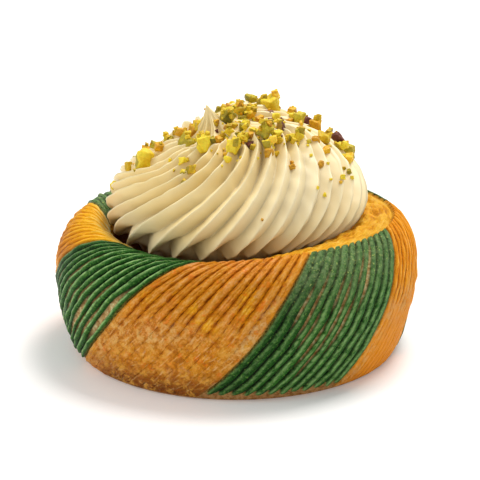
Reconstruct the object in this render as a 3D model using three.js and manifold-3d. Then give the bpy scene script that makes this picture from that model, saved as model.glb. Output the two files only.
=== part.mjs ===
// A round danish pastry: a bun of laminated dough, baked in a ring and wrapped in fine slanted cords of green
// and golden dough, with a piped rosette of cream in its hollow and chopped pistachio on the cream.
// Millimetres, +Z up. The origin is the centre of the underside, and -Y is the front.
import * as THREE from "three";
import { ConvexGeometry } from "three/addons/geometries/ConvexGeometry.js";
import { mergeVertices } from "three/addons/utils/BufferGeometryUtils.js";
import Module from "manifold-3d";

const wasm = await Module();
wasm.setup();

// ---- Driving dimensions -------------------------------------------------------------------------------

// The bun
const BUN_RADIUS = 52; // at its widest
const BUN_HEIGHT = 38.3; // to the crest of the rim
const WIDEST_HEIGHT = 23; // height of the widest place
const FOOT_RADIUS = 46.3; // where the side meets the underside
const CREST_RADIUS = 42; // the crest of the rim
const HOLLOW_RADIUS = 34; // foot of the hollow's wall
const HOLLOW_SHIFT = 1.2; // how far the hollow lies to the left, where its wall is steeper
const HOLLOW_FLOOR = 30.5; // height of the hollow's floor
const SIDE_ROUNDNESS = 1.55; // superellipse exponent below the widest place
const SHOULDER_ROUNDNESS = 2.1; // and above it
const WALL_ROUNDNESS = 2; // and down into the hollow
const LEAN = 1.8; // how much higher the crest is on the right than in the middle
const FRONT_LEAN = 0.8; // and in front
const REAR_RISE = 1.8; // how much the rim rises again behind, at its highest
const REAR_SIDE = 145; // degrees
const REAR_EDGE = 2; // the wall of the hollow stays as it is from this far outside its foot

// The cords that wrap the bun, in stripes of two colours
const STRIPE_EDGES = [2, 54, 101, 143, 186, 230, 280, 325]; // degrees, at the widest place
const CORDS_PER_STRIPE = 12;
const CORD_RELIEF = 0.45; // crest above the mean surface
const EDGE_RELIEF = 0.8; // depth of the furrow between two stripes
const CORD_SLANT = 0.75; // degrees round the bun for each millimetre up its side
const CORD_SLANT_SWING = 0.22; // and how much steeper the cords stand on the right than on the left
const CORD_CURL = 0.012; // and more, above and below the widest place, for each square millimetre
const WRAP_EDGE = 21.8; // mean way from the widest place, over the shoulder, to the wrap's upper edge
const WRAP_EDGE_SWING = 5.2; // how much nearer that edge comes on the right
const WRAP_THICKNESS = 0.8; // step down from the wrap to the plain dough inside it
const DOUGH_RISE = 0.7; // how far that dough swells again on the right
const FOOT_HEIGHT = 2; // the dough's slow unevenness starts above this height
const FOOT_FADE = 3; // the cords flatten out over this way above the foot
const STEP_WAY = 0.4; // from the wrap's upper edge to the foot of its step

// The cream
const BELLY_RADIUS = 35.9; // mean radius at its widest, halfway between ridge and furrow
const BELLY_HEIGHT = 44.5;
const TEETH_HEIGHT = 37.4; // where the ridges end over the bun
const SWIRL_RADIUS = 18.6; // the swirl's crest
const SWIRL_HEIGHT = 61.8;
const SWIRL_WAY = 36; // from the teeth, over the belly, to the swirl's crest
// How much higher or lower that crest is at 0, 30, ... 330 degrees
const SWIRL_RISES = [0.6, 0.8, 3.2, 3.8, 1, -1.6, -2.8, -2.6, -1.2, 0.6, 3.4, 3.2];
const SWIRL_RISE_TOP = 60; // height from which this rise is full
const LEVEL_RADIUS = 12; // it fades again towards the tip inside this radius
const TIP_HEIGHT = 72.3;
const TIP_X = -8.5;
const TIP_Y = -2;
const TIP_BEND = 1.3; // how late, on the way in, the swirl's middle shifts towards the tip
const RIDGES = 31;
const RIDGE_RELIEF = 1.9; // ridge above, and furrow below, the mean surface at the belly
const FURROW_PLACE = 0.5; // of a furrow, as a share of the way from ridge to ridge
const FURROW_SWING = 0.13; // the ridges lean: the furrow shifts by this share,
const FURROW_SIDE = 30; // back on this side and forward on the other (degrees)
const TEETH_ROOT = [-3, 0.5]; // the ridges grow between these ways, just below the teeth
const TEETH_WAY = 7; // the teeth part over this way:
const TEETH_DROOP = 0.9; // the ridges sink there on the left,
const TEETH_RISE = 0.9; // and rise on the right,
const TEETH_OPEN = 1.6; // and the furrows rise and deepen
const SPIRAL = 48; // degrees a ridge turns from the swirl's crest to the teeth
const SPIRAL_MORE = 16; // and more close to the teeth, where the ridges crowd and spread:
const SPREAD_ONCE = { degrees: 7, towards: 160 }; // once round the cream,
const SPREAD_TWICE = { degrees: 10, towards: 38 }; // and twice round it
const INNER_SPIRAL = 3; // degrees a ridge turns for each millimetre inside the swirl's crest
const FOLDS = 11; // the ridges merge into this many broad folds round the tip
const FOLD_RELIEF = 0.9;
const FOLD_RADII = [9, 15]; // they merge between these radii
const FOLD_ROOT = [0.6, 5]; // and the folds smooth out towards the point between these
const PLUG_RADIUS = 28; // the cream inside the hollow
const GAP = 0.5; // between the cream's underside and the hollow's floor

// The chopped pistachio: each piece's place on the cream, seen from above, and its longest side [x, y, side]
const NUTS_LEFT = [
  [-31, 2.5, 3],
  [-30, 8, 3],
  [-26, -2.5, 6.5],
  [-26.5, 10.5, 3],
  [-25.5, 13, 3],
  [-23.5, 5.5, 3],
  [-22, 0, 3.2],
  [-19.5, 6.5, 4],
  [-16, 4, 3.4],
  [-13.5, -3, 7],
  [-12, 2, 4],
  [-12.5, 8, 3.4],
];
const NUTS_ROUND_TIP = [
  [-9, -12.5, 6.4],
  [-12.5, -20, 3.6],
  [-15, -15.5, 3],
  [-4, 11.5, 4.7],
  [-2.5, -3.5, 4.7],
  [1, 7, 4.4],
  [1.5, 11.5, 4],
  [4.5, 20, 5],
  [10, 15.5, 6.2],
  [7.5, 17, 4],
  [9.5, 10.5, 3.2],
  [12.5, -9.5, 3.6],
];
const NUTS_IN_FRONT = [
  [11.5, -14, 3.4],
  [8.5, -15, 5],
  [9, -19, 3.4],
  [2, -14.5, 3.7],
  [-2, -9.5, 3],
  [-1, -18, 4.4],
  [4, 7, 3.7],
  [6.5, 5.5, 4],
  [16.5, 18.5, 4],
  [18, 7, 4.7],
];
const NUTS_RIGHT = [
  [20.5, 14.5, 3.4],
  [23, 10.5, 4.4],
  [25.5, 10, 4.4],
  [25, -0.5, 4.7],
  [17.5, -10.5, 3],
  [29, 8, 4.7],
  [30.5, 12, 4],
  [30, 2, 3.4],
  [32.5, 4.5, 5.4],
  [32.5, -1.5, 3.7],
];
const NUTS = [...NUTS_LEFT, ...NUTS_ROUND_TIP, ...NUTS_IN_FRONT, ...NUTS_RIGHT];
const NUT_LIFT = 0.12; // a piece's middle above the cream, as a share of its longest side
const NUT_SEED = 7;

const DEGREE = Math.PI / 180;
const FULL_TURN = 2 * Math.PI;

// ---- Helpers ------------------------------------------------------------------------------------------

// A line in the plane of radius and height, read by the way along it.
class Profile {
  constructor(points, start) {
    this.points = points;
    this.ways = [start];
    for (let i = 1; i < points.length; i += 1) {
      this.ways.push(this.ways[i - 1] + points[i].distanceTo(points[i - 1]));
    }
  }

  get end() {
    return this.ways[this.ways.length - 1];
  }

  // The point at that way along the line, and the direction that points out of the solid there.
  at(way) {
    const last = this.points.length - 2;
    let i = this.ways.findIndex((w) => w > way) - 1;
    if (i < 0) i = way <= this.ways[0] ? 0 : last;
    const share = (way - this.ways[i]) / (this.ways[i + 1] - this.ways[i]);
    const along = this.points[i + 1].clone().sub(this.points[i]).normalize();
    return {
      point: this.points[i].clone().lerp(this.points[i + 1], share),
      out: new THREE.Vector2(along.y, -along.x),
    };
  }
}

// A quarter of a superellipse from start to end, which leaves start upright or level.
function quarter(start, end, roundness, upright) {
  const STEPS = 24;
  const points = [];
  for (let i = 0; i <= STEPS; i += 1) {
    const turn = ((i / STEPS) * Math.PI) / 2;
    const slow = 1 - Math.cos(turn) ** (2 / roundness);
    const fast = Math.sin(turn) ** (2 / roundness);
    const share = upright ? new THREE.Vector2(slow, fast) : new THREE.Vector2(fast, slow);
    points.push(
      new THREE.Vector2(
        start.x + (end.x - start.x) * share.x,
        start.y + (end.y - start.y) * share.y,
      ),
    );
  }
  return points;
}

// The pastry isn't level: its right side is a little higher, and so is the front of the bun.
function leaned(x, y, z, towardsFront = 0) {
  const rise = (LEAN * x - towardsFront * y) / CREST_RADIUS;
  return new THREE.Vector3(x, y, z + rise * Math.min(1, z / BUN_HEIGHT));
}

// A closed surface from rings of points. The first and last ring shrink to one point each, and the rings go
// from the underside, up the outside and in again at the top, with each ring running anticlockwise.
function surfaceOfRings(bottom, rings, top) {
  const positions = [bottom, ...rings.flat(), top];
  const count = rings[0].length;
  const index = [];
  for (let i = 0; i < count; i += 1) {
    const next = (i + 1) % count;
    index.push(0, 1 + next, 1 + i);
    for (let r = 0; r + 1 < rings.length; r += 1) {
      const low = 1 + r * count;
      const high = low + count;
      index.push(low + i, low + next, high + next, low + i, high + next, high + i);
    }
    const last = 1 + (rings.length - 1) * count;
    index.push(last + i, last + next, positions.length - 1);
  }
  const geometry = new THREE.BufferGeometry().setFromPoints(positions);
  geometry.setIndex(index);
  return geometry;
}

function solidFrom(geometry) {
  const bare = geometry.clone();
  bare.deleteAttribute("normal");
  bare.deleteAttribute("uv");
  const merged = mergeVertices(bare, 1e-4);
  return new wasm.Manifold(
    new wasm.Mesh({
      numProp: 3,
      vertProperties: merged.getAttribute("position").array,
      triVerts: new Uint32Array(merged.index.array),
    }),
  );
}

function geometryFrom(solid) {
  const mesh = solid.getMesh();
  const geometry = new THREE.BufferGeometry();
  geometry.setAttribute("position", new THREE.BufferAttribute(mesh.vertProperties, 3));
  geometry.setIndex(new THREE.BufferAttribute(mesh.triVerts, 1));
  geometry.computeVertexNormals();
  return geometry;
}

// A repeatable draw of numbers from 0 to 1.
function seeded(seed) {
  let state = seed;
  return () => {
    state = (state * 1664525 + 1013904223) % 4294967296;
    return state / 4294967296;
  };
}

function named(name, geometry, colour, roughness) {
  const material = new THREE.MeshStandardMaterial({ color: colour, roughness, metalness: 0 });
  const mesh = new THREE.Mesh(geometry, material);
  mesh.name = name;
  return mesh;
}

// ---- The bun ------------------------------------------------------------------------------------------

// From the foot up the side, over the crest and down into the hollow. The way is 0 at the widest place.
function bunProfile() {
  const foot = new THREE.Vector2(FOOT_RADIUS, 0);
  const widest = new THREE.Vector2(BUN_RADIUS, WIDEST_HEIGHT);
  const crest = new THREE.Vector2(CREST_RADIUS, BUN_HEIGHT);
  const floor = new THREE.Vector2(HOLLOW_RADIUS, HOLLOW_FLOOR);
  const side = quarter(foot, widest, SIDE_ROUNDNESS, false);
  const shoulder = quarter(widest, crest, SHOULDER_ROUNDNESS, true);
  const wall = quarter(crest, floor, WALL_ROUNDNESS, false);
  const length = side.slice(1).reduce((sum, p, i) => sum + p.distanceTo(side[i]), 0);
  return new Profile([...side, ...shoulder.slice(1), ...wall.slice(1)], -length);
}

// The dough rises unevenly: a few slow waves round the bun, in millimetres.
function swelling(angle) {
  return (
    0.35 * Math.cos(2 * angle + 0.6) + 0.3 * Math.cos(3 * angle + 2.4) + 0.22 * Math.cos(5 * angle)
  );
}

// Where a cord that crosses the widest place at the angle middle is at another way up the side, in radians.
function cordAngle(middle, way) {
  const slant = CORD_SLANT - CORD_SLANT_SWING * Math.cos(middle);
  return middle + (slant * way + CORD_CURL * way * Math.abs(way)) * DEGREE;
}

function wrapEdgeWay(angle) {
  return WRAP_EDGE - WRAP_EDGE_SWING * Math.cos(angle);
}

// Where the crests and furrows of the cords stand at the widest place, and how high each is.
function cordColumns() {
  const columns = [];
  const perStripe = 2 * CORDS_PER_STRIPE;
  STRIPE_EDGES.forEach((edge, k) => {
    const nextEdge = STRIPE_EDGES[k + 1] ?? STRIPE_EDGES[0] + 360;
    for (let i = 1; i <= perStripe; i += 1) {
      const angle = (edge + ((nextEdge - edge) * i) / perStripe) * DEGREE;
      const furrow = i === perStripe ? -EDGE_RELIEF : -CORD_RELIEF;
      columns.push({ angle, relief: i % 2 ? CORD_RELIEF : furrow });
    }
  });
  return columns;
}

function bunPoint(profile, way, angle, relief) {
  const { point, out } = profile.at(way);
  const risen = THREE.MathUtils.smoothstep(point.y, FOOT_HEIGHT, WIDEST_HEIGHT);
  const lift = relief + swelling(angle) * risen;
  const inner = Math.max(0, CREST_RADIUS - point.x) / (CREST_RADIUS - HOLLOW_RADIUS);
  const radius = point.x + out.x * lift - HOLLOW_SHIFT * (way > 0 ? inner : 0) * Math.cos(angle);
  const level = Math.max(0, point.y + out.y * lift);
  const rear =
    REAR_RISE *
    Math.max(0, Math.cos(angle - REAR_SIDE * DEGREE)) ** 2 *
    THREE.MathUtils.smoothstep(level, WIDEST_HEIGHT / 2, BUN_HEIGHT) *
    THREE.MathUtils.smoothstep(point.x, HOLLOW_RADIUS + REAR_EDGE, CREST_RADIUS);
  const height = level + rear;
  return leaned(radius * Math.cos(angle), radius * Math.sin(angle), height, FRONT_LEAN);
}

function bunGeometry() {
  const WRAP_ROWS = 9;
  const PLAIN_ROWS = 4;
  const profile = bunProfile();
  const foot = profile.ways[0];
  const columns = cordColumns();
  const rings = [];
  for (let r = 0; r <= WRAP_ROWS; r += 1) {
    rings.push(
      columns.map(({ angle, relief }) => {
        const edge = wrapEdgeWay(cordAngle(angle, WRAP_EDGE));
        const way = THREE.MathUtils.lerp(foot, edge, r / WRAP_ROWS);
        const fade = Math.min(1, (way - foot) / FOOT_FADE);
        return bunPoint(profile, way, cordAngle(angle, way), relief * fade);
      }),
    );
  }
  for (let r = 0; r <= PLAIN_ROWS; r += 1) {
    const share = r / PLAIN_ROWS;
    rings.push(
      columns.map(({ angle }) => {
        const edge = wrapEdgeWay(cordAngle(angle, WRAP_EDGE)) + STEP_WAY;
        const way = THREE.MathUtils.lerp(edge, profile.end, share);
        const turned = cordAngle(angle, way);
        const rise = DOUGH_RISE * Math.sin(Math.PI * share) * Math.max(0, Math.cos(turned + 0.5));
        return bunPoint(profile, way, turned, rise - WRAP_THICKNESS * (1 - share));
      }),
    );
  }
  const underside = new THREE.Vector3(0, 0, 0);
  return surfaceOfRings(underside, rings, new THREE.Vector3(0, 0, HOLLOW_FLOOR));
}

// ---- The cream ----------------------------------------------------------------------------------------

// From the plug's foot, out to the teeth, up the belly, over the swirl's crest and up to the tip. The way
// is 0 at the teeth.
function creamProfile() {
  const plug = [
    new THREE.Vector2(PLUG_RADIUS, HOLLOW_FLOOR + GAP),
    new THREE.Vector2(PLUG_RADIUS + 2, TEETH_HEIGHT - 2.4),
  ];
  const body = new THREE.SplineCurve([
    new THREE.Vector2(BELLY_RADIUS - 2.6, TEETH_HEIGHT),
    new THREE.Vector2(BELLY_RADIUS - 0.6, TEETH_HEIGHT + 2.6),
    new THREE.Vector2(BELLY_RADIUS, BELLY_HEIGHT),
    new THREE.Vector2(32.8, 51.6),
    new THREE.Vector2(26, 57),
    new THREE.Vector2(20.5, 60.6),
    new THREE.Vector2(SWIRL_RADIUS, SWIRL_HEIGHT),
    new THREE.Vector2(16.6, 62.3),
    new THREE.Vector2(13.5, 62.8),
    new THREE.Vector2(9.6, 63.8),
    new THREE.Vector2(6.2, 65),
    new THREE.Vector2(3.9, 66.5),
    new THREE.Vector2(2.2, 68.4),
    new THREE.Vector2(1.1, 70.4),
    new THREE.Vector2(0.3, TIP_HEIGHT - 0.4),
  ]).getSpacedPoints(120);
  const plugLength = plug[0].distanceTo(plug[1]) + plug[1].distanceTo(body[0]);
  return new Profile([...plug, ...body], -plugLength);
}

// The angle, in degrees, of the ridge that crosses the swirl's crest at the angle side.
function ridgeAngle(side, way) {
  const down = Math.min(1, Math.max(0, 1 - way / SWIRL_WAY));
  const inside = Math.max(0, way - SWIRL_WAY);
  const once = SPREAD_ONCE.degrees * Math.cos((side - SPREAD_ONCE.towards) * DEGREE);
  const twice = SPREAD_TWICE.degrees * Math.cos(2 * (side - SPREAD_TWICE.towards) * DEGREE);
  const outer = SPIRAL * down ** 1.2 + (SPIRAL_MORE + once + twice) * down ** 2.5;
  return side - outer + INNER_SPIRAL * inside;
}

// How much higher than its mean height the swirl's crest is on that side.
function swirlRise(angle) {
  const count = SWIRL_RISES.length;
  const place = THREE.MathUtils.euclideanModulo(angle / FULL_TURN, 1) * count;
  const low = Math.floor(place) % count;
  const share = THREE.MathUtils.smoothstep(place % 1, 0, 1);
  return THREE.MathUtils.lerp(SWIRL_RISES[low], SWIRL_RISES[(low + 1) % count], share);
}

// 1 on a ridge's crest and 0 in its furrow, at a share of the way from ridge to ridge.
function crestness(part, furrow) {
  return part < furrow ? 1 - part / furrow : (part - furrow) / (1 - furrow);
}

// side is the ridge's angle on the swirl's crest, and crest runs from 0 in a furrow to 1 on a ridge.
function creamPoint(profile, way, side, crest) {
  const { smoothstep } = THREE.MathUtils;
  const { point, out } = profile.at(way);
  const { x: radius, y: height } = point;
  const angle = ridgeAngle(side, way) * DEGREE;
  const inward = height > BELLY_HEIGHT ? Math.max(0, 1 - radius / SWIRL_RADIUS) : 0;
  const toTip = inward ** TIP_BEND;
  const rise =
    swirlRise(angle) *
    smoothstep(height, BELLY_HEIGHT, SWIRL_RISE_TOP) *
    Math.min(1, radius / LEVEL_RADIUS);
  const rooted = smoothstep(way, ...TEETH_ROOT);
  const ridged = smoothstep(radius, ...FOLD_RADII);
  const folded = (1 - ridged) * smoothstep(radius, ...FOLD_ROOT);
  const fold = 2 * crestness(((side / 360) * FOLDS) % 1, FURROW_PLACE) - 1;
  const lift = (2 * crest - 1) * rooted * RIDGE_RELIEF * ridged + fold * FOLD_RELIEF * folded;
  const parting = (1 - smoothstep(way, 0, TEETH_WAY)) * rooted;
  const toLeft = 0.5 * (1 - Math.cos(angle));
  const droop = THREE.MathUtils.lerp(-TEETH_RISE, TEETH_DROOP, toLeft) * crest;
  const r = Math.max(0.05, radius + out.x * lift - TEETH_OPEN * (1 - crest) * parting);
  return leaned(
    TIP_X * toTip + r * Math.cos(angle),
    TIP_Y * toTip + r * Math.sin(angle),
    height + out.y * lift + rise + (TEETH_OPEN * (1 - crest) - droop) * parting,
  );
}

function creamGeometry() {
  const ROWS = 18;
  const HALF_COLUMNS = 2; // from a ridge's crest to its furrow
  const profile = creamProfile();
  const ways = [profile.ways[0], profile.ways[1]];
  for (let r = 0; r <= ROWS; r += 1) ways.push((profile.end * r) / ROWS);
  const rings = ways.map((way) => {
    const ring = [];
    for (let ridge = 0; ridge < RIDGES; ridge += 1) {
      const start = (360 * ridge) / RIDGES;
      const furrow = FURROW_PLACE - FURROW_SWING * Math.cos((start - FURROW_SIDE) * DEGREE);
      for (let i = 0; i < 2 * HALF_COLUMNS; i += 1) {
        const share = i / HALF_COLUMNS;
        const part = share < 1 ? share * furrow : furrow + (share - 1) * (1 - furrow);
        ring.push(creamPoint(profile, way, start + (360 * part) / RIDGES, crestness(part, furrow)));
      }
    }
    return ring;
  });
  const plugFoot = new THREE.Vector3(0, 0, HOLLOW_FLOOR + GAP);
  const tip = leaned(TIP_X, TIP_Y, TIP_HEIGHT);
  return surfaceOfRings(plugFoot, rings, tip);
}

// ---- The pistachio ------------------------------------------------------------------------------------

// One chopped piece: a lump with flat, broken sides round points drawn on its outline.
function nutGeometry(size, draw) {
  const CORNERS = 8;
  const width = size * (0.65 + 0.3 * draw());
  const height = size * (0.55 + 0.3 * draw());
  const corners = [];
  for (let i = 0; i < CORNERS; i += 1) {
    const turn = (FULL_TURN * (i + 0.6 * draw())) / CORNERS;
    const up = (i % 2 ? 0.5 : -0.5) * (0.7 + 0.6 * draw());
    corners.push(
      new THREE.Vector3((size / 2) * Math.cos(turn), (width / 2) * Math.sin(turn), height * up),
    );
  }
  const geometry = new ConvexGeometry(corners);
  geometry.rotateX(0.8 * (draw() - 0.5));
  geometry.rotateY(0.8 * (draw() - 0.5));
  geometry.rotateZ(FULL_TURN * draw());
  return geometry;
}

// The cream's height under a place seen from above.
function heightOn(mesh, x, y) {
  const above = new THREE.Vector3(x, y, 2 * TIP_HEIGHT);
  const ray = new THREE.Raycaster(above, new THREE.Vector3(0, 0, -1));
  return ray.intersectObject(mesh)[0].point.z;
}

function creamWithNuts() {
  const cream = creamGeometry();
  const surface = new THREE.Mesh(cream, new THREE.MeshBasicMaterial({ side: THREE.DoubleSide }));
  const draw = seeded(NUT_SEED);
  let solid = solidFrom(cream);
  for (const [x, y, side] of NUTS) {
    const nut = nutGeometry(side, draw);
    nut.translate(x, y, heightOn(surface, x, y) + NUT_LIFT * side);
    solid = solid.add(solidFrom(nut));
  }
  return geometryFrom(solid);
}

// ---- The object ---------------------------------------------------------------------------------------

const pastry = new THREE.Group();
pastry.add(named("bun", bunGeometry(), 0xc87a1e, 0.6));
pastry.add(named("cream", creamWithNuts(), 0xf0e4c0, 0.45));

export default pastry;
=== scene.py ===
# The looks of a round danish pastry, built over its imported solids: a fine mesh for the corded bun, one for
# the piped cream, and chopped pistachio on it. Formulas are in millimetres and degrees, Blender's objects in
# metres. The front is -Y, and an angle round the pastry is 0 at +X and grows anticlockwise, seen from above.
import math
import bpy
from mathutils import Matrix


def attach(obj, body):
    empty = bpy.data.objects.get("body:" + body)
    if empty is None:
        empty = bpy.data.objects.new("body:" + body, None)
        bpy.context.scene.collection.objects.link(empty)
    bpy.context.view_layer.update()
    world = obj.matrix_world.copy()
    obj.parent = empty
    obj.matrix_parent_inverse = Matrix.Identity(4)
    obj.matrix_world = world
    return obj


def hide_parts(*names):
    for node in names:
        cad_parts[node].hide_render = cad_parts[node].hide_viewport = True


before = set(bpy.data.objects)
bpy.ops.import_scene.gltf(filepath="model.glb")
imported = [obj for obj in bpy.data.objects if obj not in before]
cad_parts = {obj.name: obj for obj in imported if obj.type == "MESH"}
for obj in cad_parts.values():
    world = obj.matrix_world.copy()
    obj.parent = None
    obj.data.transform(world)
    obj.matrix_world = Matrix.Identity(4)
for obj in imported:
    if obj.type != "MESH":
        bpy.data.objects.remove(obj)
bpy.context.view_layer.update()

from types import SimpleNamespace

import bmesh
import bpy
import numpy as np
from mathutils import Matrix, Vector
from mathutils.bvhtree import BVHTree

MM = 0.001
DEGREE = math.pi / 180

# ---- The pastry's sizes, as its solids have them ----

# The bun's profile, from the foot to the hollow, and how its rim leans and rises
BUN_RADIUS = 52.0
BUN_HEIGHT = 38.3
WIDEST_HEIGHT = 23.0
FOOT_RADIUS = 46.3
CREST_RADIUS = 42.0
HOLLOW_RADIUS = 34.0
HOLLOW_SHIFT = 1.2
HOLLOW_FLOOR = 30.5
SIDE_ROUNDNESS = 1.55
SHOULDER_ROUNDNESS = 2.1
WALL_ROUNDNESS = 2.0
LEAN = 1.8
FRONT_LEAN = 0.8
REAR_RISE = 1.8
REAR_SIDE = 145.0
REAR_EDGE = 2.0
FOOT_HEIGHT = 2.0

# Its cords: the stripes, how they slant, and where their wrap ends. Even stripes are green
STRIPE_EDGES = [2, 54, 101, 143, 186, 230, 280, 325]  # degrees, at the widest place
CORDS_PER_STRIPE = 12
CORD_RELIEF = 0.45
EDGE_RELIEF = 0.8
CORD_SLANT = 0.75
CORD_SLANT_SWING = 0.22
CORD_CURL = 0.012
WRAP_EDGE = 21.8
WRAP_EDGE_SWING = 5.2
WRAP_THICKNESS = 0.8
DOUGH_RISE = 0.7
STEP_WAY = 0.4

# The cream: its belly, the swirl above, the bent tip, its ridges and the teeth at their lower ends
BELLY_RADIUS = 35.9
BELLY_HEIGHT = 44.5
TEETH_HEIGHT = 37.4
SWIRL_RADIUS = 18.6
SWIRL_HEIGHT = 61.8
SWIRL_WAY = 36.0
SWIRL_RISES = [0.6, 0.8, 3.2, 3.8, 1, -1.6, -2.8, -2.6, -1.2, 0.6, 3.4, 3.2]  # at 0, 30, ... 330 degrees
SWIRL_RISE_TOP = 60.0
LEVEL_RADIUS = 12.0
TIP_HEIGHT = 72.3
TIP_X = -8.5
TIP_Y = -2.0
TIP_BEND = 1.3
RIDGES = 31
RIDGE_RELIEF = 1.9
FURROW_PLACE = 0.5
FURROW_SWING = 0.13
FURROW_SIDE = 30.0
TEETH_ROOT = (-3.0, 0.5)
TEETH_WAY = 7.0
TEETH_DROOP = 0.9
TEETH_RISE = 0.9
TEETH_OPEN = 1.6
SPIRAL = 48.0
SPIRAL_MORE = 16.0
SPREAD_ONCE = (7.0, 160.0)  # degrees, and the side it points to
SPREAD_TWICE = (10.0, 38.0)
INNER_SPIRAL = 3.0
FOLDS = 11
FOLD_RELIEF = 0.9
FOLD_RADII = (9.0, 15.0)
FOLD_ROOT = (0.6, 5.0)
PLUG_RADIUS = 28.0
GAP = 0.5


# ---- Helpers ----

def smoothstep(value, low, high):
    share = np.clip((value - low) / (high - low), 0.0, 1.0)
    return share * share * (3.0 - 2.0 * share)


def bell(value, middle, width):
    """1 at middle, falling off to nothing about two widths away."""
    return np.exp(-(((value - middle) / width) ** 2))


def uneven(places, size, seed, count=14):
    """A smooth random field over a list of coordinates, with lumps of that size, mostly from -1 to 1."""
    draw = np.random.default_rng(seed)
    total = 0.0
    for _ in range(count):
        direction = draw.normal(size=len(places))
        direction *= draw.uniform(0.6, 1.5) * 2 * math.pi / size / np.linalg.norm(direction)
        turn = sum(d * p for d, p in zip(direction, places))
        total = total + np.sin(turn + draw.uniform(0.0, 2 * math.pi))
    return total / math.sqrt(count)


class Profile:
    """A line in the plane of radius and height, read by the way along it."""

    def __init__(self, points, start=0.0):
        self.points = np.array(points, float)
        steps = np.hypot(*np.diff(self.points, axis=0).T)
        self.ways = start + np.concatenate([[0.0], np.cumsum(steps)])

    def at(self, way, reach=0.25):
        """Radius, height, and the direction out of the solid there."""
        def place(w):
            return [np.interp(w, self.ways, values) for values in self.points.T]
        radius, height = place(way)
        (r0, z0), (r1, z1) = place(way - reach), place(way + reach)
        length = np.maximum(np.hypot(r1 - r0, z1 - z0), 1e-9)
        return radius, height, (z1 - z0) / length, (r0 - r1) / length


def quarter(start, end, roundness, upright, steps=90):
    """A quarter of a superellipse from start to end, which leaves start upright or level."""
    turn = np.linspace(0.0, math.pi / 2, steps + 1)
    slow = 1.0 - np.cos(turn) ** (2 / roundness)
    fast = np.sin(turn) ** (2 / roundness)
    across, up = (slow, fast) if upright else (fast, slow)
    return np.stack([start[0] + (end[0] - start[0]) * across, start[1] + (end[1] - start[1]) * up], axis=1)


def spline(points, steps=40):
    """A smooth line through points (a uniform Catmull-Rom spline), as an array."""
    pts = [2 * np.array(points[0]) - np.array(points[1]), *map(np.array, points),
           2 * np.array(points[-1]) - np.array(points[-2])]
    out = []
    for p0, p1, p2, p3 in zip(pts, pts[1:], pts[2:], pts[3:]):
        for t in np.linspace(0.0, 1.0, steps, endpoint=False):
            out.append(0.5 * (2 * p1 + (p2 - p0) * t + (2 * p0 - 5 * p1 + 4 * p2 - p3) * t ** 2
                              + (3 * p1 - p0 - 3 * p2 + p3) * t ** 3))
    out.append(pts[-2])
    return np.array(out)


def leaned(x, y, z, towards_front=0.0):
    """The pastry isn't level: its right side is a little higher, and so is the front of the bun."""
    rise = (LEAN * x - towards_front * y) / CREST_RADIUS
    return np.stack([x, y, z + rise * np.minimum(1.0, z / BUN_HEIGHT)], axis=-1)


def linked(name, data):
    """A new object in the scene, of a mesh, a light or a camera."""
    thing = bpy.data.objects.new(name, data)
    bpy.context.scene.collection.objects.link(thing)
    return thing


def mesh_piece(name, points, faces, values, material, smooth=False):
    """A new object from points in millimetres, with values for its points by name."""
    mesh = bpy.data.meshes.new(name)
    mesh.from_pydata((np.array(points) * MM).tolist(), [], faces)
    mesh.polygons.foreach_set("use_smooth", np.full(len(faces), smooth))
    for key, numbers in values.items():
        data = mesh.attributes.new(key, "FLOAT", "POINT").data
        data.foreach_set("value", np.array(numbers, np.float32))
    mesh.update()
    mesh.materials.append(material)
    return linked(name, mesh)


def ring_piece(name, rings, bottom, top, values, material):
    """A closed surface from rings (row, column, xyz), from a point at the bottom to one at the top."""
    rows, columns = rings.shape[:2]
    points = np.concatenate([[bottom], rings.reshape(-1, 3), [top]])
    i = np.arange(columns)
    following = (i + 1) % columns
    fan_low = np.stack([np.zeros(columns, int), 1 + following, 1 + i], axis=1)
    last = 1 + (rows - 1) * columns
    fan_high = np.stack([last + i, last + following, np.full(columns, len(points) - 1)], axis=1)
    low = (1 + np.arange(rows - 1) * columns)[:, None]
    quads = np.stack([low + i, low + following, low + columns + following, low + columns + i], axis=2)
    faces = fan_low.tolist() + quads.reshape(-1, 4).tolist() + fan_high.tolist()
    for key, value in values.items():
        values[key] = np.concatenate([[value[0].mean()], value.reshape(-1), [value[-1].mean()]])
    return mesh_piece(name, points, faces, values, material, smooth=True)


# ---- Materials ----

# Colours of the dough and the cream: a ramp's stops, each a place from 0 to 1 and an sRGB code, or one code
# The golden ramps follow the crests: painted shade in the furrows and notches, and a painted highlight on the
# crests
GOLD_STOPS = [(0.05, "9a5404"), (0.27, "c67a06"), (0.5, "dc8c1e"), (0.8, "f0b464")]
BROWN_STOPS = [(0.05, "904a04"), (0.3, "c06c08"), (0.55, "ea9438"), (0.85, "fabe82")]
YELLOW_STOPS = [(0.05, "a85c02"), (0.27, "e49608"), (0.5, "fab41c"), (0.8, "ffd468")]
BRIGHT_STOPS = [(0.25, "9c4a02"), (0.45, "e68606"), (0.65, "f89e10"), (0.85, "feb638")]
SUNNY_STOPS = [(0.1, "b86404"), (0.35, "ea960a"), (0.65, "fcba1e"), (0.85, "fed468"), (1.0, "fdeebc")]
# Painted shade, warm and dark, for the golden cords' furrows
PAINTED_FURROW_SHADE = [(0.3, "8e3c00"), (0.48, "c06a02"), (0.64, "e89608")]
# The brown foot: partly real browning, partly painted shade
FOOT_STOPS = [(0.35, "602f05"), (0.6, "8e5216")]
FLAKY_STOPS = [(0.35, "c48a40"), (0.6, "e8c080")]
# The last of these is painted shade for the pits
EMBER, PALE_EMBER, PAINTED_PIT_SHADE = "ee7814", "e4a664", "6a3004"
LIGHT_BLOTCH, DARK_BLOTCH, FLAKE = "f2b248", "a4560e", "f0c888"
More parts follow.
